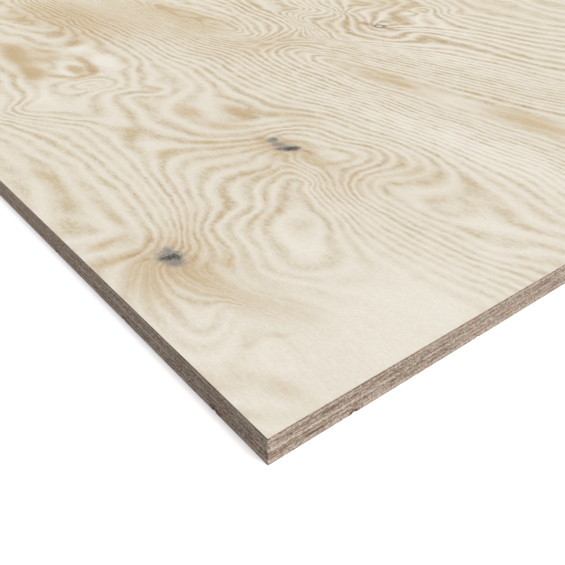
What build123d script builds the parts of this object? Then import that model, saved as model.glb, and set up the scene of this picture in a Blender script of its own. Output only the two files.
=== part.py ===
"""A sheet of softwood plywood: five peeled veneers glued one on another, square sawn on all four edges.

The frame is +X along the grain of the face veneer, +Y across it and +Z up, with the origin at the centre of
the underside. The grain of each layer runs across that of the layer under it, so the two crossbands run along Y.
The sheet is whole but for small splinters torn from its lower arris beside one corner, where X is highest and
Y is lowest. All lengths are in millimetres.
"""

from build123d import *

import os

SHEET_LENGTH = 2440.0
SHEET_WIDTH = 1220.0

# The two outer veneers match, and so do the two crossbands, which keeps the sheet flat.
OUTER_VENEER = 3.7
CROSSBAND = 3.9
CENTRE_VENEER = 2.8

# The layers from the underside up: the name of the veneer and its thickness.
LAYERS = (
    ("back_veneer", OUTER_VENEER),
    ("lower_crossband", CROSSBAND),
    ("centre_veneer", CENTRE_VENEER),
    ("upper_crossband", CROSSBAND),
    ("face_veneer", OUTER_VENEER),
)

# Splinters torn out by the saw: round scoops from the lower arris, placed by their distance from the corner.
SCOOP_RADIUS = 1.9
SCOOP_BITE = 1.0
SCOOPS_ON_END = (55.6, 155.6)
SCOOPS_ON_SIDE = (45.2, 144.8, 245.0)


def veneer(underside, thickness):
    """One layer of the sheet, from the height of its underside up."""
    corner = Align.CENTER, Align.CENTER, Align.MIN
    return Pos(0, 0, underside) * Box(SHEET_LENGTH, SHEET_WIDTH, thickness, align=corner)


def splinter_scoops():
    """The round cutters of the splinters, each reaching SCOOP_BITE into the arris along the slant."""
    end, side = SHEET_LENGTH / 2, -SHEET_WIDTH / 2
    clear = (SCOOP_RADIUS - SCOOP_BITE) / 2**0.5
    on_end = [(end + clear, side + along, -clear) for along in SCOOPS_ON_END]
    on_side = [(end - along, side - clear, -clear) for along in SCOOPS_ON_SIDE]
    return [Pos(*centre) * Sphere(SCOOP_RADIUS) for centre in on_end + on_side]


def sheet():
    """Every veneer by its name, stacked face to face."""
    layers = {}
    height = 0.0
    for name, thickness in LAYERS:
        layers[name] = veneer(height, thickness)
        height += thickness
    layers["back_veneer"] -= splinter_scoops()
    return layers


os.makedirs("parts", exist_ok=True)
for name, layer in sheet().items():
    layer.label = name
    export_step(layer, f"parts/{name}.step")
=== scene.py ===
"""The finish of a five-ply plywood sheet, and the view of its near corner.

Places on the sheet are given as (u, v) in mm from the near corner of the face:
u runs along the long side, with the grain, and v along the short side.
The first dark knot lies at (160, 46), the second at (270, 220) and a small one at (537, 616).
"""
import math

import bpy
import numpy as np
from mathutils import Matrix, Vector


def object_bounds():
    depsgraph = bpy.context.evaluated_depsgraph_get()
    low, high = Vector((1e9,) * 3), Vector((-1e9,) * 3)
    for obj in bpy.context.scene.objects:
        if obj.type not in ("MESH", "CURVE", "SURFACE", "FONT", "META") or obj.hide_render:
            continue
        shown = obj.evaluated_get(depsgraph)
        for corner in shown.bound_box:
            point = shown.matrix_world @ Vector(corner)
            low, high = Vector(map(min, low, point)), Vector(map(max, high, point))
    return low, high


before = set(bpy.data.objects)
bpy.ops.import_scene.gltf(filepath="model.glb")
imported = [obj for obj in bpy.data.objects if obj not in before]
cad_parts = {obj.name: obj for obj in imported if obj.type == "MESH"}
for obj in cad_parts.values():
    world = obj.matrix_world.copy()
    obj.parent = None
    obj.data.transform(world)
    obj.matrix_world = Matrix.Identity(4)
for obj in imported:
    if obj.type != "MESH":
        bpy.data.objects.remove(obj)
cad_low, cad_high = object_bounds()

MM = 0.001
TOP = cad_high.z
CORNER_X = cad_high.x
CORNER_Y = cad_low.y
# How far a patch on the face reaches up and down, in mm
PATCH_DEPTH = 1000


def spot(u, v):
    """The place (u, v) on the face, in the frame's metres."""
    return Vector((CORNER_X - u * MM, CORNER_Y + v * MM, TOP))


def linear(red, green, blue):
    """A colour as a screen shows it, 0 to 255 a channel, turned into the light that a shader works with."""
    channels = []
    for level in (red, green, blue):
        share = level / 255
        channels.append(share / 12.92 if share <= 0.04045 else ((share + 0.055) / 1.055) ** 2.4)
    return (*channels, 1.0)


# Growth rings of the face, as drawn: the ring's number, then places (u, v) along it
RINGS = [
    # blank eye between the two dark knots, and the rings round it
    (13, (104, 104), (120, 106), (135, 110), (150, 116), (160, 127), (168, 140), (174, 152), (181, 161),
         (194, 166), (204, 174), (207, 183), (198, 185), (186, 179), (172, 172), (156, 165), (140, 161),
         (122, 151), (109, 143), (103, 132), (98, 117)),
    (12, (85, 103), (98, 95), (113, 88), (123, 92), (132, 97), (145, 99), (158, 102), (166, 108),
         (173, 119), (178, 131), (185, 141), (193, 149), (205, 157), (214, 165), (220, 175), (221, 184),
         (214, 191), (205, 193), (196, 190), (186, 182), (172, 176), (155, 171), (138, 166), (120, 160),
         (105, 152), (92, 144), (78, 139), (68, 135), (67, 125), (76, 113)),
    (11, (0, 112), (20, 113), (40, 111), (60, 103), (80, 91), (97, 82), (106, 78), (118, 77), (126, 80),
         (131, 86), (140, 89), (155, 90), (166, 93), (175, 99), (181, 107), (185, 118), (191, 129),
         (201, 137), (212, 146), (221, 156), (227, 167), (230, 178), (231, 189), (225, 197), (214, 199),
         (202, 199), (193, 193), (184, 186), (168, 181), (150, 176), (130, 169), (110, 162), (95, 158),
         (80, 157), (60, 157), (40, 156), (20, 158), (0, 160)),
    (10, (0, 95), (27, 96), (45, 91), (60, 84), (75, 77), (88, 71), (102, 67), (120, 64), (130, 68),
         (134, 76), (142, 81), (156, 83), (168, 86), (180, 93), (188, 100), (197, 109), (208, 119),
         (220, 129), (232, 138), (241, 148), (243, 158), (240, 170), (240, 181), (246, 191), (254, 200),
         (262, 208)),
    (10, (250, 212), (243, 207), (235, 202), (225, 204), (210, 205), (198, 203), (188, 196), (178, 190),
         (160, 184), (137, 178), (120, 173), (105, 169), (80, 166), (50, 165), (20, 168), (0, 172)),
    (9, (0, 81), (25, 82), (50, 77), (75, 71), (95, 61), (112, 57), (130, 55), (143, 57), (146, 66),
        (152, 72), (163, 74), (173, 77), (183, 82), (192, 88), (203, 97), (215, 106), (230, 114),
        (246, 122), (258, 129), (265, 137), (266, 147), (262, 159), (260, 172), (260, 186), (264, 199),
        (267, 208)),
    (9, (244, 215), (232, 211), (215, 209), (200, 209), (188, 203), (175, 196), (160, 189), (140, 184),
        (120, 180), (100, 176), (60, 176), (20, 179), (0, 182)),
    (8, (0, 70), (20, 71), (40, 70), (60, 68), (80, 62), (95, 55), (110, 51), (130, 49), (148, 50)),
    (8, (156, 60), (168, 68), (182, 76), (194, 84), (205, 91), (217, 98), (230, 104), (245, 109),
        (257, 115), (270, 121), (281, 128), (287, 135), (287, 145), (282, 155), (277, 167), (275, 180),
        (276, 193), (276, 206)),
    (8, (240, 220), (225, 217), (210, 215), (196, 212), (182, 203), (168, 195), (150, 190), (130, 188),
        (100, 183), (60, 184), (20, 187), (0, 190)),
    (8, (204, 214), (211, 224), (211, 236), (212, 247), (222, 253), (236, 253), (248, 249), (258, 243),
        (268, 234)),
    (7, (160, 58), (170, 65), (180, 71), (192, 77), (205, 84), (220, 90), (235, 95), (250, 99),
        (267, 103), (285, 108), (300, 115), (313, 122), (321, 132), (320, 144), (311, 156), (302, 168),
        (296, 180), (292, 193), (286, 206)),
    (7, (289, 218), (291, 229), (289, 239), (282, 248), (270, 254), (255, 259), (242, 262), (230, 266),
        (219, 271), (210, 273), (202, 270), (196, 260), (193, 247), (194, 235), (197, 226), (190, 218),
        (178, 208), (164, 201), (148, 196), (125, 193), (100, 191), (60, 192), (30, 194), (0, 200)),
    (6, (182, 66), (195, 73), (208, 79), (221, 84), (235, 89), (250, 93), (270, 97), (285, 101),
        (300, 106), (318, 110), (335, 114), (352, 119), (370, 125), (390, 133)),
    (6, (390, 133), (384, 143), (370, 147), (352, 152), (336, 157), (323, 164), (313, 175), (305, 186),
        (300, 198), (297, 209), (297, 222), (298, 234), (296, 246), (288, 256), (275, 262), (260, 266),
        (245, 270), (230, 276), (217, 280), (205, 281), (196, 277), (188, 267), (185, 254), (184, 240),
        (184, 230), (176, 217), (164, 206), (150, 201), (130, 199), (100, 199), (60, 199), (30, 203),
        (0, 210)),
    (5, (178, 57), (190, 65), (204, 72), (218, 78), (232, 82), (246, 86), (262, 89), (280, 92), (300, 96),
        (320, 98), (340, 101), (360, 102), (380, 104), (400, 103), (425, 99), (448, 91), (466, 80),
        (485, 68), (500, 58), (515, 62), (530, 72), (550, 82), (575, 85), (600, 87), (620, 90)),
    (6, (400, 120), (418, 115), (437, 109), (452, 101), (466, 90), (482, 77), (500, 66), (520, 74),
        (540, 87), (560, 94), (580, 98), (605, 102), (640, 104), (665, 110), (690, 117)),
    (5, (400, 169), (385, 168), (365, 173), (345, 178), (330, 184), (319, 191), (309, 201), (304, 213),
        (304, 226), (306, 240), (307, 252), (303, 262), (294, 268), (280, 273), (262, 276), (246, 278),
        (230, 283), (215, 288), (203, 289), (192, 288), (182, 284), (175, 276), (173, 264), (176, 250),
        (178, 236), (174, 225), (163, 214), (150, 207), (130, 205), (100, 205), (60, 206), (30, 210),
        (0, 219)),
    (4, (183, 54), (197, 62), (210, 69), (225, 74), (240, 77), (260, 80), (280, 83), (300, 86), (320, 89),
        (340, 91), (360, 93), (385, 94), (410, 91), (435, 85), (460, 72), (480, 60), (500, 49)),
    (4, (395, 187), (376, 188), (360, 191), (346, 197), (333, 208), (322, 219), (317, 231), (318, 244),
        (320, 255), (316, 266), (306, 276), (293, 281), (278, 286), (262, 289), (244, 290), (225, 294),
        (208, 298), (190, 298), (175, 293), (165, 285), (160, 273), (160, 262), (166, 248), (168, 236),
        (163, 226), (153, 218), (140, 214), (115, 212), (90, 212), (60, 214), (40, 217), (20, 224),
        (0, 231)),
    (3, (142, 4), (152, 10), (165, 18), (172, 25), (175, 36), (190, 56), (203, 61), (220, 66), (240, 69),
        (260, 71), (280, 75), (300, 78), (325, 80), (355, 81), (385, 80), (410, 78), (435, 73), (460, 62),
        (480, 50)),
    (3, (480, 279), (460, 271), (440, 262), (420, 254), (400, 249), (386, 243), (373, 239), (358, 240),
        (346, 246), (342, 259), (334, 272), (320, 284), (306, 292), (290, 297), (270, 299), (250, 300),
        (230, 302), (210, 305), (190, 306), (170, 304), (155, 299), (143, 291), (139, 280), (139, 268),
        (142, 256), (149, 248), (153, 239), (150, 230), (140, 225), (122, 221), (95, 220), (75, 221),
        (60, 224), (45, 229), (32, 236), (15, 247)),
    (2, (184, 5), (186, 16), (184, 28), (184, 38), (190, 46), (203, 52), (220, 55), (245, 58), (265, 60),
        (285, 62), (305, 65), (330, 67), (360, 66), (390, 66), (420, 63), (450, 57), (475, 48)),
    (2.1, (20, 264), (40, 259), (57, 253), (68, 246), (80, 242), (98, 240), (116, 240), (112, 250),
          (108, 262), (104, 274), (105, 285)),
    (2, (113, 293), (126, 299), (142, 306), (160, 310), (180, 313), (205, 312), (230, 310), (255, 309),
        (280, 308), (300, 303), (318, 297), (334, 290), (350, 283), (365, 278), (382, 276), (405, 277),
        (430, 281), (460, 288), (490, 296), (520, 300), (545, 300), (565, 297), (590, 297), (620, 302),
        (660, 305), (720, 308)),
    (1, (212, 4), (209, 15), (207, 28), (216, 37), (230, 40), (243, 41), (258, 45), (280, 47), (300, 51),
        (320, 54), (345, 54), (370, 53), (400, 52), (430, 48), (455, 43)),
    (1, (50, 289), (68, 290), (82, 296), (100, 303), (120, 310), (140, 316), (170, 319), (205, 320),
        (235, 319), (265, 320), (290, 317), (310, 312), (330, 306), (350, 301), (370, 296), (395, 292),
        (420, 293), (450, 298), (475, 304), (500, 310), (530, 313), (550, 312), (562, 306), (585, 305),
        (620, 309), (660, 313), (720, 317)),
    (0, (45, 305), (80, 311), (110, 319), (140, 326), (190, 329), (240, 330), (280, 330), (305, 327),
        (325, 321), (345, 316), (370, 310), (400, 307), (430, 308), (460, 312), (490, 320), (520, 327),
        (545, 329), (562, 322), (590, 319), (640, 324), (720, 328)),
    # tan band along the long side, past the first knot
    (0, (243, 4), (246, 14), (262, 20), (282, 24), (302, 29), (325, 35), (345, 33), (370, 36), (400, 34),
        (430, 27)),
    (-0.5, (230, 20), (275, 8), (330, 12), (380, 16)),
    (0.5, (222, 12), (232, 30), (270, 36), (300, 42), (400, 43)),
    # arches round the first knot, towards the corner
    (4, (168, 31), (155, 23), (140, 15), (122, 8), (100, 7), (82, 8), (72, 14), (73, 24), (78, 35),
        (81, 44), (75, 53), (60, 57), (40, 58), (20, 58), (0, 58)),
    (5, (148, 25), (132, 18), (115, 16), (98, 20), (90, 28), (91, 38), (93, 46), (85, 55), (60, 61)),
    (6, (145, 31), (128, 26), (115, 28), (105, 34), (103, 43), (98, 51)),
    (7, (154, 39), (138, 36), (124, 39), (114, 45), (104, 52)),
    (3, (42, 3), (48, 14), (57, 25), (63, 37), (61, 45), (48, 49), (20, 49), (0, 49)),
    (2.6, (18, 24), (35, 25)),
    # saddle past the knots, and the pale ground beyond it
    (6, (400, 139), (415, 143), (432, 150), (450, 155), (466, 160), (482, 165), (492, 172), (491, 186),
        (482, 198), (476, 207), (484, 216), (504, 219), (522, 220), (542, 225), (556, 230), (566, 241),
        (590, 251), (620, 258), (660, 262), (720, 266)),
    (6.5, (430, 130), (410, 131)),
    (8.4, (226, 230), (230, 243), (246, 234)),
    (7, (595, 117), (580, 113), (560, 108), (540, 97), (524, 88), (510, 79), (498, 77), (482, 86),
        (468, 96), (456, 108), (449, 119), (456, 129), (468, 138), (482, 147), (497, 156), (505, 166),
        (506, 178), (503, 189), (509, 197), (526, 201), (545, 211), (564, 219), (578, 230), (590, 240),
        (608, 245), (640, 249), (680, 252), (720, 256)),
    (7.5, (480, 110), (500, 100), (520, 110), (510, 121), (540, 120), (560, 125), (500, 135), (480, 125),
          (570, 200), (620, 215), (670, 225), (700, 205)),
    (8, (506, 133), (530, 132), (552, 132), (566, 136), (569, 146), (562, 158), (563, 172), (557, 184),
        (545, 189), (531, 187), (522, 177), (520, 163), (514, 149)),
    (9, (530, 147), (542, 145), (552, 150), (557, 160), (556, 171), (548, 178), (536, 177), (528, 168),
        (527, 156)),
    (10, (534, 165), (540, 162)),
    (7, (571, 165), (578, 156), (590, 151), (612, 155), (636, 157), (656, 162), (674, 171), (680, 182),
        (665, 194), (640, 200), (610, 197), (590, 191), (577, 180)),
    (6.5, (590, 172), (610, 176), (632, 178)),
    (7, (605, 130), (630, 138), (660, 148), (690, 160), (712, 167), (690, 136), (720, 142), (750, 152)),
    (6.5, (640, 119), (665, 124)),
    # S bend next to the saddle
    (5, (420, 172), (438, 177), (455, 182), (468, 188), (463, 196), (451, 204), (447, 213), (456, 222),
        (471, 230), (490, 235), (510, 239), (526, 248), (546, 257), (570, 264), (605, 267), (650, 272),
        (720, 277)),
    (4, (384, 206), (392, 214), (404, 216), (416, 220), (431, 231), (445, 242), (459, 252), (480, 258),
        (497, 262), (520, 269), (541, 275), (562, 276), (600, 277), (650, 283), (720, 288)),
    (4, (396, 200), (410, 192)),
    (4.45, (432, 203)),
    (3.5, (400, 232), (350, 222), (375, 262), (430, 270)),
    (3, (510, 286), (560, 287), (600, 286), (650, 293), (720, 298)),
    (2.5, (126, 262), (124, 282), (132, 240), (60, 238)),
    (2.5, (50, 272), (80, 265)),
    # pointed ovals past u = 700
    (7, (760, 261), (800, 265), (850, 270), (900, 272), (960, 274), (1020, 277)),
    (8, (880, 178), (850, 177), (822, 181), (800, 190), (768, 195), (745, 204), (725, 210), (706, 226),
        (718, 238), (740, 243), (768, 247), (800, 253), (840, 258), (900, 258), (970, 261), (1040, 265)),
    (9, (900, 188), (860, 190), (835, 195), (815, 204), (798, 215), (776, 226), (785, 236), (800, 241),
        (830, 246), (880, 247), (940, 250), (1000, 254), (1060, 261)),
    (10, (940, 210), (915, 217), (880, 220), (858, 223), (842, 229), (862, 231), (885, 231), (920, 233),
         (960, 236), (1010, 242), (1060, 248)),
    (10, (870, 226), (900, 225)),
    (7.5, (760, 180), (800, 170)),
    (8.5, (750, 228), (790, 205), (850, 184)),
    (9.5, (818, 227), (860, 208), (900, 199)),
    (10.5, (930, 226), (1000, 230)),
    (10.5, (960, 222)),
    # straight grain, and the long ovals next to it
    (5, (760, 280), (820, 283), (900, 288), (1000, 293)),
    (3, (760, 299), (820, 302), (900, 305), (1000, 308)),
    (1, (760, 318), (820, 320), (900, 322), (1000, 325)),
    (-1, (100, 335), (190, 339), (300, 338), (345, 328), (400, 319), (450, 322), (500, 332), (540, 338),
         (558, 337), (575, 331), (600, 333), (680, 336), (760, 340), (880, 343)),
    (-3, (90, 352), (190, 354), (300, 351), (345, 344), (400, 339), (450, 343), (500, 350), (540, 356),
         (570, 355), (600, 352), (680, 352), (760, 355), (880, 358)),
    (-5, (90, 366), (200, 368), (300, 366), (345, 361), (400, 356), (450, 359), (500, 367), (540, 374),
         (565, 378), (580, 374), (610, 368), (650, 366), (700, 367), (800, 370), (900, 369)),
    (-6, (100, 373), (200, 375), (300, 374), (350, 370), (380, 368), (430, 370), (480, 374), (520, 382),
         (545, 395), (558, 420), (556, 445), (551, 465), (540, 482), (515, 490), (480, 497), (440, 505),
         (400, 511), (350, 517), (300, 523), (250, 529), (200, 536)),
    (-6, (570, 388), (585, 384), (612, 377), (650, 374), (700, 375), (800, 380), (900, 383)),
    (-6, (568, 405), (562, 430), (566, 455), (573, 475), (583, 497), (600, 511), (625, 522), (650, 532),
         (680, 541), (705, 546), (740, 552), (780, 563), (805, 577)),
    (-8, (100, 388), (200, 390), (300, 388), (350, 386), (400, 385), (440, 387), (480, 393), (510, 403),
         (527, 418), (535, 438), (525, 455), (500, 466), (460, 478), (400, 490), (350, 497), (300, 504),
         (240, 508), (190, 514)),
    (-10, (110, 404), (200, 402), (300, 401), (350, 402), (400, 406), (440, 411), (475, 422), (500, 436),
          (480, 452), (440, 464), (400, 470), (350, 477), (300, 483), (240, 486), (180, 494)),
    (-12, (130, 424), (180, 422), (240, 422), (300, 424), (350, 424), (400, 425), (435, 431), (460, 438),
          (435, 447), (400, 451), (350, 457), (300, 461), (240, 466), (180, 474)),
    (-12.7, (135, 444), (170, 446), (205, 447), (290, 440), (320, 436), (360, 437), (392, 436)),
    (-12.5, (240, 444), (425, 439)),
    (-4, (190, 556), (250, 549), (300, 541), (350, 535), (390, 529), (430, 519), (470, 508), (500, 500)),
    (-2, (205, 573), (250, 566), (300, 561), (350, 555), (395, 548), (430, 536), (470, 520), (495, 508)),
    (0, (215, 592), (260, 588), (300, 584), (345, 579), (385, 574), (415, 557), (445, 543), (475, 527),
        (522, 514), (542, 526), (566, 538), (592, 545), (612, 553), (624, 566), (632, 580), (628, 600),
        (634, 622), (655, 636), (690, 650), (716, 662)),
    # pit next to the long ovals, with nested tips
    (-8, (575, 402), (610, 396), (650, 390), (700, 391), (760, 392), (850, 390)),
    (-10, (615, 415), (650, 405), (700, 404), (760, 403), (850, 400)),
    (-8, (580, 420), (583, 445), (592, 465), (604, 482), (620, 496), (645, 507), (680, 515), (720, 525),
         (760, 535), (830, 548)),
    (-10, (597, 428), (603, 445), (615, 460), (640, 474), (665, 485), (700, 494), (730, 498), (755, 504),
          (780, 512), (850, 517)),
    (-11, (608, 432), (618, 443), (640, 453), (665, 464), (690, 476), (720, 486), (780, 487), (860, 482)),
    (-12, (640, 420), (630, 434), (650, 449), (680, 461), (708, 467), (740, 470), (790, 468), (820, 465),
          (850, 458), (890, 459)),
    (-13, (735, 440), (722, 448), (690, 454), (664, 450), (648, 441), (655, 426), (675, 420), (705, 418),
          (730, 424)),
    (-13, (770, 420), (770, 440), (820, 428), (820, 442), (870, 437)),
    (-13.45, (690, 436), (705, 440)),
    (-12, (780, 411), (840, 410)),
    # rings round the small knot
    (1, (235, 609), (300, 609), (340, 606), (380, 600), (400, 590), (415, 573), (440, 562), (465, 553),
        (485, 541), (500, 525), (515, 532), (535, 545), (560, 556), (580, 564), (600, 580), (612, 592),
        (620, 612), (640, 628)),
    (1.0, (355, 600), (370, 606)),
    (1.5, (415, 603), (400, 615)),
    (2, (240, 622), (300, 622), (350, 625), (400, 627), (440, 628), (464, 627), (456, 613), (444, 602),
        (433, 590), (450, 577), (470, 567), (490, 561), (515, 553), (535, 556), (552, 565), (570, 580),
        (582, 592), (594, 606), (612, 619), (640, 634)),
    (3, (260, 642), (300, 640), (340, 646), (380, 648), (420, 647), (450, 643), (470, 636), (487, 626),
        (486, 610), (479, 596), (482, 583), (497, 573), (515, 568), (531, 569), (545, 579), (558, 591),
        (568, 605), (582, 617), (612, 633), (640, 647), (658, 666), (667, 686), (661, 702)),
    (4, (290, 672), (325, 668), (360, 672), (400, 668), (430, 666), (455, 658), (475, 650), (492, 638),
        (510, 626), (506, 611), (503, 597), (515, 589), (530, 592), (543, 601), (551, 611), (566, 622),
        (592, 636), (618, 652), (632, 672), (635, 692), (636, 712), (645, 735)),
    (5, (548, 612), (560, 624), (580, 641), (596, 658), (603, 680), (610, 704), (619, 724)),
    (5, (479, 668), (481, 680), (493, 690), (515, 695), (530, 705), (548, 720), (563, 736), (576, 756)),
    (6, (546, 621), (556, 636), (567, 656), (570, 681), (583, 701), (594, 726), (602, 750), (616, 776),
        (632, 796)),
    (6, (300, 722), (340, 718), (375, 708), (395, 704), (425, 711), (460, 710), (486, 712), (510, 719),
        (528, 732), (545, 748), (556, 765)),
    (6, (514, 664), (518, 650), (531, 645), (545, 656)),
    (5.5, (530, 670), (440, 688)),
    (6.5, (565, 720)),
    (7, (320, 752), (350, 746), (380, 740), (410, 736), (450, 732), (486, 730), (510, 736), (530, 748),
        (545, 762)),
    (8, (430, 757), (460, 757), (490, 752), (512, 757), (530, 767)),
    (9, (345, 790), (370, 786), (400, 784), (430, 778), (450, 775), (470, 777), (500, 785), (525, 795)),
    (10, (400, 815), (440, 815), (470, 822), (500, 818), (530, 830), (560, 842), (580, 850)),
    (11, (400, 858), (430, 862), (452, 870), (480, 880), (500, 892), (520, 905)),
    (12, (415, 902), (440, 906), (470, 914), (500, 925)),
    (13, (435, 945), (475, 954), (500, 962)),
    (-5, (600, 520), (630, 532), (655, 544), (680, 552), (704, 561), (721, 576), (711, 590), (703, 598),
         (722, 603), (746, 608), (776, 620)),
    (-3, (600, 533), (630, 543), (655, 551), (672, 561), (684, 574), (680, 590), (677, 603), (688, 613),
         (706, 619), (726, 628), (760, 641)),
    (-1, (560, 522), (590, 536), (615, 545), (637, 553), (650, 565), (652, 582), (647, 602), (655, 622),
         (674, 631), (700, 637), (726, 647), (748, 657)),
]


class Term:
    """A number, vector or colour that a material works out at each point of a surface."""

    def __init__(self, tree, socket):
        self.tree = tree
        self.socket = socket

    def node(self, kind, inputs, output=0, **settings):
        """The output of a new shader node, fed with plain values or other terms."""
        made = self.tree.nodes.new(kind)
        for name, value in settings.items():
            setattr(made, name, value)
        for place, value in inputs.items():
            if isinstance(value, Term):
                self.tree.links.new(value.socket, made.inputs[place])
            else:
                made.inputs[place].default_value = value
        return Term(self.tree, made.outputs[output])

    def math(self, operation, *others, clamped=False):
        inputs = dict(enumerate((self, *others)))
        return self.node("ShaderNodeMath", inputs, operation=operation, use_clamp=clamped)

    def vector(self, operation, *others):
        inputs = dict(enumerate((self, *others)))
        output = "Value" if operation in ("DISTANCE", "DOT_PRODUCT") else "Vector"
        return self.node("ShaderNodeVectorMath", inputs, output, operation=operation)

    def __add__(self, other):
        return self.math("ADD", other)

    def __sub__(self, other):
        return self.math("SUBTRACT", other)

    def __rsub__(self, other):
        return self.node("ShaderNodeMath", {0: other, 1: self}, operation="SUBTRACT")

    def __mul__(self, other):
        return self.math("MULTIPLY", other)

    def __truediv__(self, other):
        return self.math("DIVIDE", other)

    def clamp(self):
        return self.math("ADD", 0.0, clamped=True)

    def ramp(self, low, high, start=0.0, end=1.0):
        """Eases from start to end as the term goes from low to high, and stays there beyond."""
        inputs = {"Value": self, "From Min": low, "From Max": high, "To Min": start, "To Max": end}
        return self.node("ShaderNodeMapRange", inputs, interpolation_type="SMOOTHSTEP", clamp=False)

    def swing(self, amount):
        """Noise about 0.5 turned into noise about 0, times an amount."""
        return (self - 0.5) * amount

    def blend(self, low, high):
        """A colour between two colours, with this term as the share of the second."""
        inputs = {"Factor": self.clamp(), 6: low, 7: high}
        return self.node("ShaderNodeMix", inputs, 2, data_type="RGBA")

    def shaded(self, share):
        """A colour made darker or lighter by a share."""
        return self.node("ShaderNodeVectorMath", {0: self, "Scale": share}, operation="SCALE")

    def split(self, axis):
        return self.node("ShaderNodeSeparateXYZ", {"Vector": self}, axis)

    def noise(self, along, across, deep, detail=2.0, roughness=0.5, colour=False):
        """Soft noise about 0.5, or three of them as a colour, with grains of these sizes in mm."""
        place = self.vector("MULTIPLY", [1 / (size * MM) for size in (along, across, deep)])
        inputs = {"Vector": place, "Scale": 1.0, "Detail": detail, "Roughness": roughness}
        return place.node("ShaderNodeTexNoise", inputs, "Color" if colour else "Fac")

    def jitter(self, reach, *noise):
        """The place moved about by noise, up to about half of the reach in mm along and across."""
        wander = self.noise(*noise, colour=True).vector("SUBTRACT", (0.5, 0.5, 0.5))
        along, across = reach
        return wander.vector("MULTIPLY_ADD", (along * MM, across * MM, 0.0), self)

    def oval(self, centre, half_sizes, turn=0.0):
        """1 at the centre, falling to 0 at the rim of an oval of half sizes in mm, turned by degrees."""
        inputs = {"Vector": self, "Location": centre, "Scale": [size * MM for size in half_sizes]}
        inputs["Rotation"] = (0.0, 0.0, math.radians(-turn))
        placed = self.node("ShaderNodeMapping", inputs, vector_type="TEXTURE")
        return placed.node("ShaderNodeTexGradient", {"Vector": placed}, 1, gradient_type="SPHERICAL")

    def patch(self, u, v, along, across, turn):
        """A soft oval at (u, v) on the face."""
        return self.oval(spot(u, v), (along, across, PATCH_DEPTH), turn).ramp(0, 1)


# The fitted field: how many centres it has, and how many are added in a round
CENTRES = 300
ADDED_AT_ONCE = 12
# Least distance in mm between the first centres, and between those that are added where the fit is worst
FIRST_GAP = 60.0
LEAST_GAP = 5.0
# Height of the centres over the face in mm, which rounds the field off at each of them
SOFTNESS = 10.0
# How much large weights are held back
DAMPING = 1e-4

# The ring number across the sheet, before the drawn rings bend it: (from v, to v, change)
FIRST_RING = 10.0
RING_STEPS = ((240, 450, -23), (450, 960, 26), (960, 1300, -12))


def smooth_step(value, low, high):
    """Eases from 0 to 1 as the value goes from low to high."""
    share = np.clip((value - low) / (high - low), 0, 1)
    return share * share * (3 - 2 * share)


def solve_rings(points, numbers, chosen):
    """The chosen centres, their weights with a plane, and how far off that leaves each drawn place."""
    centres = points[chosen] + (0, 0, SOFTNESS * MM)
    distances = np.linalg.norm(points[:, None] - centres[None], axis=2)
    known = np.hstack([distances, points[:, :2], np.ones((len(points), 1))])
    damping = np.eye(len(centres), known.shape[1]) * DAMPING
    goal = np.append(numbers, np.zeros(len(centres)))
    solved = np.linalg.lstsq(np.vstack([known, damping]), goal, rcond=None)[0]
    return centres, solved, np.abs(known @ solved - numbers)


def choose_more(chosen, order, points, gap, most):
    """Chooses places in this order, each at least the gap in mm from every other, up to so many in all."""
    for index in order:
        if len(chosen) == most:
            return
        if all(math.dist(points[index], points[other]) >= gap * MM for other in chosen):
            chosen.append(int(index))


def fit_rings(rings):
    """Fits the drawn rings from places far apart, and then adds the places that fit worst."""
    places = [place for ring in rings for place in ring[1:]]
    numbers = np.array([ring[0] for ring in rings for _ in ring[1:]], float) - FIRST_RING
    v = np.array(places, float)[:, 1]
    for low, high, change in RING_STEPS:
        numbers -= change * smooth_step(v, low, high)
    points = np.array([spot(*place) for place in places])
    chosen = []
    choose_more(chosen, range(len(points)), points, FIRST_GAP, CENTRES)
    while len(chosen) < CENTRES:
        miss = solve_rings(points, numbers, chosen)[2]
        most = min(len(chosen) + ADDED_AT_ONCE, CENTRES)
        choose_more(chosen, np.argsort(-miss), points, LEAST_GAP, most)
    centres, solved, _ = solve_rings(points, numbers, chosen)
    return centres, solved[:len(centres)], solved[len(centres):]


# The part of the face that the photograph shows lies inside these lines: a line's direction in (u, v),
# and its distance from the corner in mm
VIEW_EDGES = ((0.783, 0.622, 994.6), (-0.848, 0.530, 126.7), (0.327, -0.945, 115.0))
# How far past these lines, in mm, the unseen part starts and takes over in full
UNSEEN_FROM = 15
UNSEEN_IN_FULL = 220
# Noises that stand for the rings of the unseen part, each with how many rings it reaches across:
# grain sizes in mm along, across and deep, then detail
LARGE_WAVES = (900, 210, 500, 1)
LARGE_REACH = 26
SMALL_WAVES = (230, 60, 200, 1)
SMALL_REACH = 5
# Closed rings of the unseen part: (u, v, half length, half width, turn in degrees, rings)
UNSEEN_EYES = (
    (1500, 330, 300, 80, 2, 9), (1130, 880, 300, 100, -4, -9), (2010, 760, 360, 90, 3, 10),
    (380, 1120, 260, 60, 0, 7), (2230, 240, 260, 70, -3, -7), (1640, 1050, 300, 60, 0, 6),
)


def patches(place, ovals, start=0.0):
    """Soft ovals added up, each times its amount."""
    total = start
    for *oval, amount in ovals:
        total = place.patch(*oval).math("MULTIPLY_ADD", amount, total)
    return total


def strongest(place, ovals):
    """The strongest of several soft ovals."""
    total = None
    for *oval, amount in ovals:
        new = place.patch(*oval) * amount
        total = new if total is None else total.math("MAXIMUM", new)
    return total


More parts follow.
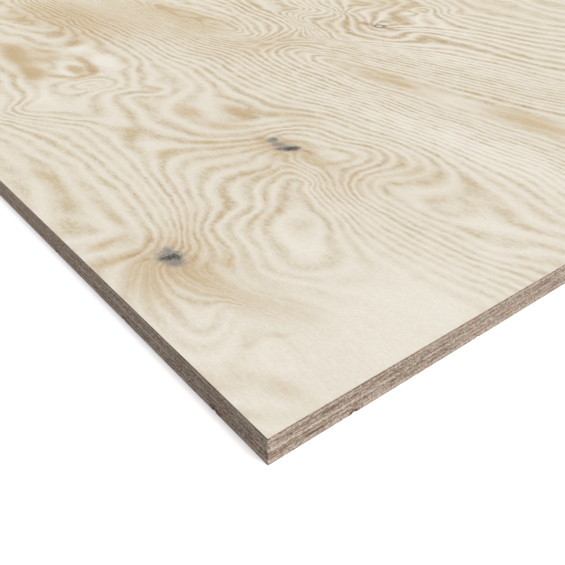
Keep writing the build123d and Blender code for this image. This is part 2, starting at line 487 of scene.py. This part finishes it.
def unseen(place):
    """0 on what the photograph shows, easing to 1 on the rest of the face."""
    beyond = None
    for along, across, distance in VIEW_EDGES:
        start = CORNER_X * along - CORNER_Y * across - distance * MM
        off = place.vector("DOT_PRODUCT", (-along, across, 0.0)) + start
        beyond = off if beyond is None else beyond.math("MAXIMUM", off)
    return beyond.ramp(UNSEEN_FROM * MM, UNSEEN_IN_FULL * MM)


def drawn_rings(place):
    """The field fitted to the drawn rings: a plane and the weighted distances to the centres."""
    centres, weights, (slope_x, slope_y, start) = fit_rings(RINGS)
    total = place.vector("DOT_PRODUCT", (slope_x, slope_y, 0.0)) + float(start)
    for centre, weight in zip(centres, weights):
        total = place.vector("DISTANCE", centre).math("MULTIPLY_ADD", float(weight), total)
    return total


def guessed_rings(place):
    """Rings for the part of the face that the photograph doesn't show."""
    waves = place.noise(*LARGE_WAVES).swing(LARGE_REACH) + place.noise(*SMALL_WAVES).swing(SMALL_REACH)
    return patches(place, UNSEEN_EYES, waves)


def ring_number(place):
    """The number of the growth ring at a place, which is whole on a growth line."""
    drawn = drawn_rings(place)
    guessed = guessed_rings(place)
    number = drawn + unseen(place) * (guessed - drawn) + FIRST_RING
    v = (place.split("Y") - CORNER_Y) / MM
    for low, high, change in RING_STEPS:
        number = number + v.ramp(low, high, 0.0, change)
    return number


# Width of a growth line as a share of the ring, and how much narrower its outer side is
LINE_WIDTH = 0.33
NARROWER = 0.07
BANDS_PER_RING = 2.3


def growth_lines(number):
    """1 on each growth line, fading fast on its outer side and slowly into the early wood."""
    part = number - number.math("ROUND")
    width = part.math("GREATER_THAN", 0.0).math("MULTIPLY_ADD", -NARROWER, LINE_WIDTH)
    share = part / width
    return (share * share * -1).math("EXPONENT")


def uneven_years(number):
    """A random share for each growth line, the same all along it."""
    inputs = {"W": number.math("ROUND")}
    return number.node("ShaderNodeTexWhiteNoise", inputs, "Value", noise_dimensions="1D")


def soft_bands(number):
    """Noise that runs along with the growth rings."""
    inputs = {"W": number * BANDS_PER_RING, "Scale": 1.0, "Detail": 2.0}
    return number.node("ShaderNodeTexNoise", inputs, "Fac", noise_dimensions="1D")


# Colours of the wood
PALE_WOOD = linear(236, 230, 218)
TAN_WOOD = linear(203, 187, 157)
WARM_WOOD = linear(203, 182, 147)
BROWN_WOOD = linear(174, 140, 98)
BACK_WOOD = linear(236, 230, 217)
BACK_LINES = linear(205, 184, 152)
KNOT_STAIN = linear(180, 146, 114)
KNOT_GREY = linear(132, 131, 126)
KNOT_HEART = linear(56, 58, 56)
KNOT_EYE = linear(226, 216, 194)

# Noises of the wood: grain sizes in mm along, across and deep, then detail and roughness
FIBRES = (16, 0.8, 2, 3, 0.6)
FLECKS = (5, 2.6, 3, 3, 0.6)
SPECKLE = (2.4, 1.5, 2, 3, 0.7)
MOTTLE = (8, 5, 6, 4, 0.7)
BLOTCHES = (26, 13, 20)
DRIFT = (90, 34, 60)
UNSEEN_WARMTH = (330, 95, 200)
# How rings and patches wander, and how the rims of the knots fray: the reach in mm, then a noise
WANDER = ((6, 5), 11, 8, 9, 3, 0.6)
FRAY = ((11, 9), 3.4, 2.4, 3, 3, 0.7)

# Tone of the ground, where 0 is pale wood and 1 tan, and how much darker it gets away from the near corner,
# from one place to another along this direction, in metres from the middle of the sheet
GROUND = 0.175
FAR_GROUND = 0.05
FAR_DIRECTION = (-0.783, 0.622, 0.0)
FAR_FROM = -0.9
FAR_IN_FULL = 0.3
# How much each noise moves the tone
DRIFT_TONE = 0.18
BAND_TONE = 0.16
FLECK_TONE = 0.20
MOTTLE_TONE = 0.42
# Strength of the growth lines: in general, at least, and added on the unseen part
EVEN_LINES = 0.42
FAINTEST_LINES = 0.03
UNSEEN_LINES = 0.24
MOST_WARMTH = 0.84

# Ovals on the face: (u, v, half length, half width, turn in degrees, amount)
# Tan wood
WARM_PATCHES = (
    # round the first knot, and its smear towards the corner
    (160, 40, 66, 50, 0, 0.52), (125, 48, 55, 20, -8, 0.34), (85, 62, 52, 24, -22, 0.32),
    (62, 78, 30, 14, 0, 0.12), (148, 20, 48, 18, 20, 0.30), (183, 14, 9, 30, 0, 0.30),
    (206, 18, 8, 26, -12, 0.42), (195, 76, 56, 26, 38, 0.24), (138, 70, 9, 9, 60, 0.25),
    (130, 78, 60, 22, 0, 0.16),
    # round the second knot
    (270, 218, 70, 38, 0, 0.50), (225, 228, 60, 14, 0, 0.30), (180, 215, 52, 44, 30, 0.28),
    (305, 175, 60, 56, -50, 0.26), (172, 130, 16, 46, -14, 0.26), (228, 176, 30, 40, 10, 0.34),
    (170, 262, 60, 50, 0, 0.16), (325, 278, 70, 34, 0, 0.30),
    # along the long side
    (300, 30, 66, 15, 2, 0.30), (345, 30, 30, 13, 0, 0.40), (240, 42, 26, 7, 4, 0.30),
    (20, 27, 28, 12, -19, 0.36), (60, 34, 5, 13, -18, 0.28), (57, 50, 5, 14, 33, 0.26),
    # on the ground round both knots
    (318, 130, 18, 22, 0, 0.44), (385, 132, 36, 20, 0, 0.16), (345, 212, 40, 24, -40, 0.40),
    (395, 204, 36, 22, 0, 0.58), (365, 242, 46, 15, 0, 0.56), (140, 275, 60, 36, 0, 0.12),
    # brown rings near (650, 150)
    (608, 175, 38, 15, 6, 1.75), (620, 130, 46, 26, 0, 0.85), (685, 138, 85, 28, 6, 0.70),
    (735, 152, 70, 40, 8, 0.75), (700, 180, 46, 20, -14, 0.70), (674, 162, 30, 24, 0, 0.50),
    (573, 168, 10, 26, 0, 0.85), (592, 192, 34, 10, 20, 0.80), (640, 201, 48, 10, 0, 0.75),
    (590, 150, 22, 8, -30, 0.50),
    # pointed ovals, and the straight grain next to them
    (720, 228, 26, 18, 30, 0.60), (905, 222, 60, 18, -10, 0.50), (880, 290, 280, 110, 0, 0.60),
    (740, 250, 90, 40, 0, 0.14), (760, 380, 240, 70, 0, 0.22), (900, 400, 200, 110, 0, 0.12),
    # long ovals near v = 440, and the pit next to them
    (165, 444, 90, 30, 0, 0.72), (350, 440, 110, 30, 0, 0.50), (350, 434, 75, 8, 0, 0.30),
    (560, 430, 80, 110, 0, 0.30), (690, 430, 80, 80, 0, 0.20), (790, 432, 190, 50, 0, 0.42),
    # round the small knot, and broad ones
    (560, 590, 120, 90, 0, 0.24), (640, 745, 80, 80, 0, 0.40), (360, 650, 120, 70, 0, 0.06),
    (560, 345, 300, 40, 0, 0.16), (500, 855, 160, 90, 0, 0.14),
)
# Paler wood
PALE_PATCHES = (
    (20, 130, 110, 130, 0, 0.12), (130, 128, 60, 30, 12, 0.16), (60, 20, 70, 40, 0, 0.10),
    (530, 108, 60, 24, 0, 0.16), (645, 220, 90, 28, 4, 0.50), (612, 172, 52, 24, 6, 0.62),
    (150, 350, 190, 60, 0, 0.28), (420, 650, 260, 220, 0, 0.14), (40, 250, 80, 60, 0, 0.14),
    (400, 350, 340, 60, 0, 0.14), (390, 560, 190, 70, 0, 0.14), (500, 650, 130, 60, 0, 0.10),
    (550, 680, 60, 60, 0, 0.16), (450, 680, 60, 40, 0, 0.10),
)
# Stronger or weaker growth lines
LINE_PATCHES = (
    # the near corner and the ground between the two dark knots
    (0, 75, 150, 150, 0, -0.46), (160, 24, 62, 46, 0, -0.30), (60, 150, 90, 90, 0, -0.10),
    (100, 62, 60, 40, 0, -0.26), (100, 245, 60, 50, 0, -0.16), (190, 120, 40, 90, -30, 0.18),
    (235, 150, 60, 60, 0, 0.14), (330, 175, 110, 60, 0, 0.06), (230, 265, 110, 40, 0, 0.10),
    # brown rings, pale ground and pointed ovals
    (700, 145, 110, 40, 10, -0.34), (600, 188, 60, 26, 0, 0.34), (780, 225, 120, 40, 0, 0.24),
    (510, 108, 60, 26, 0, -0.34), (350, 235, 70, 50, 0, 0.20), (530, 170, 50, 60, 0, -0.10),
    # broad ones, and the rest
    (500, 560, 560, 380, 0, 0.28), (420, 50, 90, 30, 0, 0.10), (430, 345, 460, 60, 0, 0.25),
    (860, 270, 260, 70, 0, 0.30), (560, 640, 200, 110, 0, 0.22), (760, 560, 160, 80, 0, 0.30),
    (340, 620, 120, 90, 0, 0.12), (250, 445, 160, 50, 0, -0.10), (760, 440, 200, 50, 0, -0.04),
    (560, 360, 140, 50, 0, 0.14), (850, 350, 160, 50, 0, -0.16), (300, 80, 150, 50, 0, -0.06),
    (230, 470, 120, 30, -6, 0.40),
)
# Knots: the first, the second and then the small one with a pale eye
STAIN_PATCHES = (
    (162, 46, 36, 28, 0, 0.42), (192, 47, 9, 6, 45, 0.55), (182, 29, 4, 15, 0, 0.60),
    (172, 32, 4, 11, 0, 0.55), (156, 57, 13, 7, 0, 0.50), (147, 38, 9, 7, 0, 0.35),
    (178, 56, 14, 8, 20, 0.36),
    (268, 220, 42, 24, 0, 0.42), (245, 230, 15, 5, -10, 0.70), (275, 231, 24, 9, 0, 0.50),
    (292, 216, 22, 12, 0, 0.52),
    (518, 616, 34, 12, 0, 0.85), (562, 612, 28, 13, 15, 0.90),
)
GREY_PATCHES = (
    (158, 46, 12, 12, 0, 0.90), (166, 46, 14, 16, 0, 0.92), (173, 49, 11, 9, 0, 0.75),
    (172, 42, 12, 8, 0, 0.50),
    (261, 221, 14, 20, 30, 0.85), (284, 223, 13, 11, 30, 0.85), (272, 221, 12, 12, 30, 0.70),
    (274, 219, 14, 9, 30, 0.70),
    (537, 616, 18, 18, 0, 1.0),
)
HEART_PATCHES = (
    (165, 46, 6, 14, 17, 0.95), (162, 50, 6, 7, 0, 0.75),
    (258, 224, 9, 14, 30, 0.95), (264, 215, 6, 7, 20, 0.55), (285, 226, 6, 4, 30, 0.50),
    (537, 616, 16, 16, 0, 0.80),
)
EYE_PATCHES = ((537, 616, 9, 9, 0, 1.0),)


def wood_warmth(place, bent, beyond):
    """How warm the wood is: by the patches where the photograph shows the face, and by noise elsewhere."""
    warmth = (patches(bent, WARM_PATCHES) - patches(bent, PALE_PATCHES)).math("MINIMUM", MOST_WARMTH)
    return warmth + beyond * place.noise(*UNSEEN_WARMTH).ramp(0.46, 0.74, -0.05, 0.62)


def line_strength(place, number, flecks, beyond):
    """How dark a growth line is: by place, by year, and broken up by flecks and blotches."""
    years = uneven_years(number)
    blotches = place.noise(*BLOTCHES)
    even = patches(place, LINE_PATCHES, EVEN_LINES) + beyond * UNSEEN_LINES
    strength = even.math("MAXIMUM", FAINTEST_LINES) * flecks.ramp(0.25, 0.75, 0.55, 1.4)
    return strength * (years * 0.6 + 0.78) * blotches.ramp(0.3, 0.7, 0.55, 1.4)


def face_tone(place, flecks):
    """The tone of the face's wood, with its growth lines, and its warmth."""
    bent = place.jitter(*WANDER)
    number = ring_number(bent)
    bands = soft_bands(number)
    drift = place.noise(*DRIFT)
    far = place.vector("DOT_PRODUCT", FAR_DIRECTION).ramp(FAR_FROM, FAR_IN_FULL)
    beyond = unseen(place)
    warmth = wood_warmth(place, bent, beyond)
    warm_bands = warmth * bands.ramp(0.25, 0.75, 0.72, 1.25)
    ground = far * FAR_GROUND + GROUND + drift.swing(DRIFT_TONE) + warm_bands
    strength = line_strength(place, number, flecks, beyond)
    tone = ground + growth_lines(number) * strength * (1.1 - warmth * 0.6) + bands.swing(BAND_TONE)
    tone = tone + flecks.swing(FLECK_TONE) + place.noise(*MOTTLE).swing(MOTTLE_TONE)
    return tone, warmth


def wood_colour(tone, warmth):
    """Pale wood that turns tan as the tone rises to 1, and brown beyond it."""
    tan = warmth.ramp(0.0, 0.45).blend(TAN_WOOD, WARM_WOOD)
    wood = tone.blend(PALE_WOOD, tan)
    return (tone * 0.8 - 0.80).blend(wood, BROWN_WOOD)


def mark_knots(place, wood, speckle):
    """Lays the stains, the grey rot, the dark hearts and the pale eye of the knots over the wood."""
    frayed = place.jitter(*FRAY)
    rot = speckle.ramp(0.3, 0.7, 0.7, 1.15)
    wood = strongest(frayed, STAIN_PATCHES).ramp(0.05, 0.85, 0.0, 0.8).blend(wood, KNOT_STAIN)
    wood = (strongest(frayed, GREY_PATCHES).ramp(0.08, 0.8, 0.0, 0.92) * rot).blend(wood, KNOT_GREY)
    wood = (strongest(frayed, HEART_PATCHES).ramp(0.12, 0.85, 0.0, 0.92) * rot).blend(wood, KNOT_HEART)
    return strongest(frayed, EYE_PATCHES).ramp(0.1, 0.8).blend(wood, KNOT_EYE)


def face_finish(place):
    """Colour and fibres of the face."""
    flecks = place.noise(*FLECKS)
    wood = wood_colour(*face_tone(place, flecks))
    fibres = place.noise(*FIBRES)
    speckle = place.noise(*SPECKLE)
    shade = fibres.ramp(0.25, 0.75, 0.97, 1.02) * flecks.ramp(0.2, 0.8, 0.98, 1.02)
    wood = wood.shaded(shade * speckle.ramp(0.2, 0.8, 0.945, 1.055))
    return mark_knots(place, wood, speckle), fibres


def back_finish(place):
    """A plainer figure for the underside, which the photograph doesn't show."""
    number = place.noise(1000, 200, 500, detail=1) * 34 + place.noise(210, 46, 160) * 5
    number = number + place.noise(40, 12, 30) * 0.5
    years = uneven_years(number)
    tone = growth_lines(number) * (years * 0.5 + 0.35) + place.noise(160, 40, 90) * 0.5
    fibres = place.noise(*FIBRES)
    return tone.blend(BACK_WOOD, BACK_LINES).shaded(fibres.ramp(0.25, 0.75, 0.96, 1.03)), fibres


# Colours of the sawn edges
PALE_EDGE = linear(243, 227, 209)
BROWN_EDGE = linear(142, 118, 98)
RED_EDGE = linear(158, 110, 88)
# the darkest colour: for dark streaks and glue lines, and also for the painted shade along the rims and in
# the notches of the torn splinters
DARK_EDGE_AND_SHADE = linear(88, 74, 63)

# Noises of the edges: grain sizes in mm along the sheet, across it and in height, then detail and roughness
ALONG_SHEET = (14, 3.2, 0.6, 4, 0.65)
ACROSS_SHEET = (3.2, 14, 0.6, 4, 0.65)
SPECKS = (1.2, 1.2, 0.7, 3, 0.8)
EDGE_DRIFT = (34, 34, 7)
GLUE_WAVES = (9, 9, 4)
REDS = (12, 12, 1.6)
# Tones of a pale ply and a brown one: 0 is pale and 1 brown
PALE_TONE = 0.34
BROWN_TONE = 0.58
EDGE_ROUGHNESS = 0.75
FACE_ROUGHNESS = 0.68
# Depth of the fibres in mm
EDGE_DEPTH = 0.25
FACE_DEPTH = 0.08


def top_of(veneer):
    """The height of a veneer's upper side, in mm."""
    return max((veneer.matrix_world @ vertex.co).z for vertex in veneer.data.vertices) / MM


# Heights of the glue lines and of the painted shade line under the upper arris, and waves of the glue
# lines, in mm
GLUE_LINES = sorted(top_of(veneer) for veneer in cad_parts.values())[:-1]
ARRIS_SHADE_LINE = TOP / MM - 0.9
GLUE_WAVE = 1.1
# Marks on the sawn edges, and painted shade in the notches of the torn splinters: (place along the edge,
# height, half length, half height, amount), in mm
SHORT_EDGE_MARKS_AND_SHADE = (
    # dark streaks
    (8, 13.0, 8, 0.8, 0.35), (20, 13.1, 4, 0.7, 0.30), (39, 12.9, 9, 0.9, 0.60), (52, 11.3, 6, 0.8, 0.35),
    (85, 11.8, 12, 1.8, 0.30), (67, 12.4, 4, 1.0, 0.35), (28, 6.9, 10, 0.7, 0.35), (60, 6.9, 14, 0.8, 0.50),
    (83, 6.6, 4, 1.0, 0.40), (29, 4.3, 10, 1.0, 0.70), (8, 5.5, 8, 1.2, 0.30), (61, 15.4, 1.6, 0.8, 0.60),
    # painted shade in the notches of the torn splinters
    (55.5, 1.0, 5.0, 2.8, 1.30), (155, 0.8, 3.0, 1.4, 0.90),
    # pale streaks
    (8, 9.4, 9, 1.2, -0.50), (29, 9.4, 9, 1.2, -0.50), (51, 9.3, 6, 1.0, -0.45), (77, 9.3, 6, 1.0, -0.45),
    (115, 9.3, 8, 1.2, -0.35),
)
LONG_EDGE_MARKS_AND_SHADE = (
    # dark streaks
    (61, 13.3, 7, 0.9, 0.45), (31, 7.1, 9, 0.8, 0.35), (12, 10.6, 3, 1.0, 0.35), (51, 11.9, 3, 0.9, 0.35),
    # painted shade in the notches of the torn splinters
    (44.5, 1.2, 6.0, 2.8, 1.30), (144, 1.2, 6.0, 2.8, 1.20), (245, 1.2, 7.0, 2.8, 1.20),
    # pale streaks
    (85, 9.0, 9, 1.0, -0.35), (98, 9.4, 7, 0.9, -0.35), (123, 9.5, 6, 1.2, -0.40),
)


def edge_marks_and_shade(place):
    """The dark and light marks of both sawn edges that the photograph shows, added up; the marks over the
    torn splinters are painted shade in their notches.
    """
    total = 0.0
    for marks, on_short_edge in ((SHORT_EDGE_MARKS_AND_SHADE, True), (LONG_EDGE_MARKS_AND_SHADE, False)):
        for along, height, length, rise, amount in marks:
            x = CORNER_X if on_short_edge else CORNER_X - along * MM
            y = CORNER_Y + along * MM if on_short_edge else CORNER_Y
            mark = place.oval((x, y, height * MM), (length, length, rise)).ramp(0, 0.8)
            total = mark.math("MULTIPLY_ADD", amount, total)
    return total


def glue_lines_and_rim_shade(place, share, streaks, specks):
    """Darkens the wavy glue lines, and paints shade along the upper and lower rims of the edge."""
    height = place.split("Z") / MM
    bent = height + place.noise(*GLUE_WAVES).swing(GLUE_WAVE)
    for line in GLUE_LINES:
        off = (bent - line).math("ABSOLUTE")
        share = share + off.ramp(0.05, 0.7, 0.34, 0.0) * streaks.ramp(0.3, 0.6, 0.3, 1.4)
    # painted shade: a dark line just under the upper arris, and another along the lower rim where the sheet
    # meets the floor
    under_arris_shade = (height + specks.swing(0.8) - ARRIS_SHADE_LINE).math("ABSOLUTE")
    return share + under_arris_shade.ramp(0.1, 0.6, 0.66, 0.0) + bent.ramp(0.2, 0.8, 0.45, 0.0)


def edge_finish(place, grain, tone):
    """Sawn edge of a ply: streaks along its grain, specks of end grain, glue lines and marks, with painted
    shade along its rims and in the notches of the torn splinters.
    """
    streaks = place.noise(*grain)
    specks = place.noise(*SPECKS)
    drift = place.noise(*EDGE_DRIFT)
    share = streaks.ramp(0.28, 0.72, -0.42, 0.42) + specks.ramp(0.25, 0.75, -0.85, 0.85) + drift.swing(0.5)
    share = glue_lines_and_rim_shade(place, share + tone, streaks, specks) + edge_marks_and_shade(place)
    brown = place.noise(*REDS).ramp(0.45, 0.65).blend(BROWN_EDGE, RED_EDGE)
    return (share * 0.8 - 0.72).blend(share.blend(PALE_EDGE, brown), DARK_EDGE_AND_SHADE), streaks


def wood_shader(colour, fibres, roughness, depth):
    """A matt wood surface, with its fibres in the roughness and, so many mm deep, in the height."""
    bump = fibres.node("ShaderNodeBump", {"Height": fibres, "Strength": 0.5, "Distance": depth * MM})
    uneven = fibres.ramp(0.2, 0.8, roughness - 0.08, roughness + 0.08)
    inputs = {"Base Color": colour, "Roughness": uneven, "Normal": bump, "Specular IOR Level": 0.3}
    return colour.node("ShaderNodeBsdfPrincipled", inputs)


def level_share(tree):
    """1 on level sides and 0 on upright ones."""
    normal = Term(tree, tree.nodes.new("ShaderNodeNewGeometry").outputs["True Normal"])
    return normal.split("Z").math("ABSOLUTE").math("GREATER_THAN", 0.5)


def ply_material(name, grain, tone, level_finish=None):
    """The material of a veneer: sawn edges, and a finish of their own for its level sides if they show."""
    material = bpy.data.materials.new(name)
    material.use_nodes = True
    tree = material.node_tree
    tree.nodes.remove(tree.nodes["Principled BSDF"])
    place = Term(tree, tree.nodes.new("ShaderNodeTexCoord").outputs["Object"])
    shader = wood_shader(*edge_finish(place, grain, tone), EDGE_ROUGHNESS, EDGE_DEPTH)
    if level_finish:
        level = wood_shader(*level_finish(place), FACE_ROUGHNESS, FACE_DEPTH)
        shader = shader.node("ShaderNodeMixShader", {"Fac": level_share(tree), 1: shader, 2: level})
    tree.links.new(shader.socket, tree.nodes["Material Output"].inputs["Surface"])
    return material


# The camera's place from the near corner of the face in metres, its turns in degrees and its lens in mm
CAMERA_OFF = (0.1703, -0.1266, 0.2265)
CAMERA_TILT = 56.348
CAMERA_TURN = 51.54
SENSOR_WIDTH = 36.0
LENS = 42.35
NEAREST_SEEN = 0.01
# The key lamp's direction and the width of its disc in degrees, and the world's share of the light
KEY_DIRECTION = (0.57, 0.12, 1.0)
KEY_SPREAD = 25
AMBIENT = 0.25
# The floor's size in metres, its colour and glow where it is seen, and its colour to all other rays
FLOOR_SIZE = 60.0
FLOOR_SEEN = linear(240, 240, 240)
FLOOR_GLOW = 0.3
FLOOR_UNSEEN = linear(140, 140, 140)
WHITE = (1, 1, 1, 1)


def make_camera():
    """The photograph's view: low over the near corner, along the sheet's diagonal."""
    camera = bpy.data.objects.new("camera", bpy.data.cameras.new("camera"))
    bpy.context.collection.objects.link(camera)
    camera.data.sensor_width = SENSOR_WIDTH
    camera.data.lens = LENS
    camera.data.clip_start = NEAREST_SEEN
    off_x, off_y, off_z = CAMERA_OFF
    camera.location = (CORNER_X + off_x, CORNER_Y + off_y, TOP + off_z)
    camera.rotation_euler = (math.radians(CAMERA_TILT), 0.0, math.radians(CAMERA_TURN))
    bpy.context.scene.camera = camera


def make_lamp(name, direction, strength, spread_angle):
    """A broad distant lamp; strength 1 alone shows a level white surface under it as white."""
    lamp = bpy.data.lights.new(name, "SUN")
    lamp.energy = strength * math.pi * Vector(direction).length / direction[2]
    lamp.angle = math.radians(spread_angle)
    holder = bpy.data.objects.new(name, lamp)
    bpy.context.collection.objects.link(holder)
    holder.rotation_euler = (-Vector(direction)).to_track_quat("-Z", "Y").to_euler()


def seen_rays(tree):
    """1 for the rays that show a thing itself: straight to the camera, in gloss, or through glass."""
    path = tree.nodes.new("ShaderNodeLightPath")
    camera = Term(tree, path.outputs["Is Camera Ray"])
    glossy = Term(tree, path.outputs["Is Glossy Ray"])
    through = Term(tree, path.outputs["Is Transmission Ray"])
    return camera.math("MAXIMUM", glossy).math("MAXIMUM", through)


def make_world():
    """White where it is seen, and a weaker even light on everything else."""
    world = bpy.data.worlds.new("world")
    bpy.context.scene.world = world
    world.use_nodes = True
    tree = world.node_tree
    background = tree.nodes["Background"]
    strength = seen_rays(tree) * (1 - AMBIENT) + AMBIENT
    tree.links.new(strength.socket, background.inputs["Strength"])
    background.inputs["Color"].default_value = WHITE


def floor_material():
    """White where it is seen, and darker to other rays, so that it throws little light on the edges."""
    material = bpy.data.materials.new("pale_floor")
    material.use_nodes = True
    tree = material.node_tree
    shader = tree.nodes["Principled BSDF"]
    shader.inputs["Roughness"].default_value = 1.0
    shader.inputs["Specular IOR Level"].default_value = 0.0
    seen = seen_rays(tree)
    tree.links.new(seen.blend(FLOOR_UNSEEN, FLOOR_SEEN).socket, shader.inputs["Base Color"])
    shader.inputs["Emission Color"].default_value = WHITE
    tree.links.new((seen * FLOOR_GLOW).socket, shader.inputs["Emission Strength"])
    return material


def make_floor():
    mesh = bpy.data.meshes.new("floor")
    half = FLOOR_SIZE / 2
    corners = [(-half, -half, 0), (half, -half, 0), (half, half, 0), (-half, half, 0)]
    mesh.from_pydata(corners, [], [(0, 1, 2, 3)])
    mesh.materials.append(floor_material())
    floor = bpy.data.objects.new("floor", mesh)
    bpy.context.collection.objects.link(floor)


make_camera()
make_world()
make_floor()
make_lamp("key_lamp", KEY_DIRECTION, 1 - AMBIENT, KEY_SPREAD)
bpy.context.scene.view_settings.view_transform = "Standard"

pale_ply = ply_material("pale_ply", ALONG_SHEET, PALE_TONE)
brown_ply = ply_material("brown_ply", ACROSS_SHEET, BROWN_TONE)
face_ply = ply_material("face_ply", ALONG_SHEET, PALE_TONE, face_finish)
back_ply = ply_material("back_ply", ALONG_SHEET, PALE_TONE, back_finish)
finishes = {
    "face_veneer": face_ply,
    "upper_crossband": brown_ply,
    "centre_veneer": pale_ply,
    "lower_crossband": brown_ply,
    "back_veneer": back_ply,
}
for name, material in finishes.items():
    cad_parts[name].material_slots[0].material = material
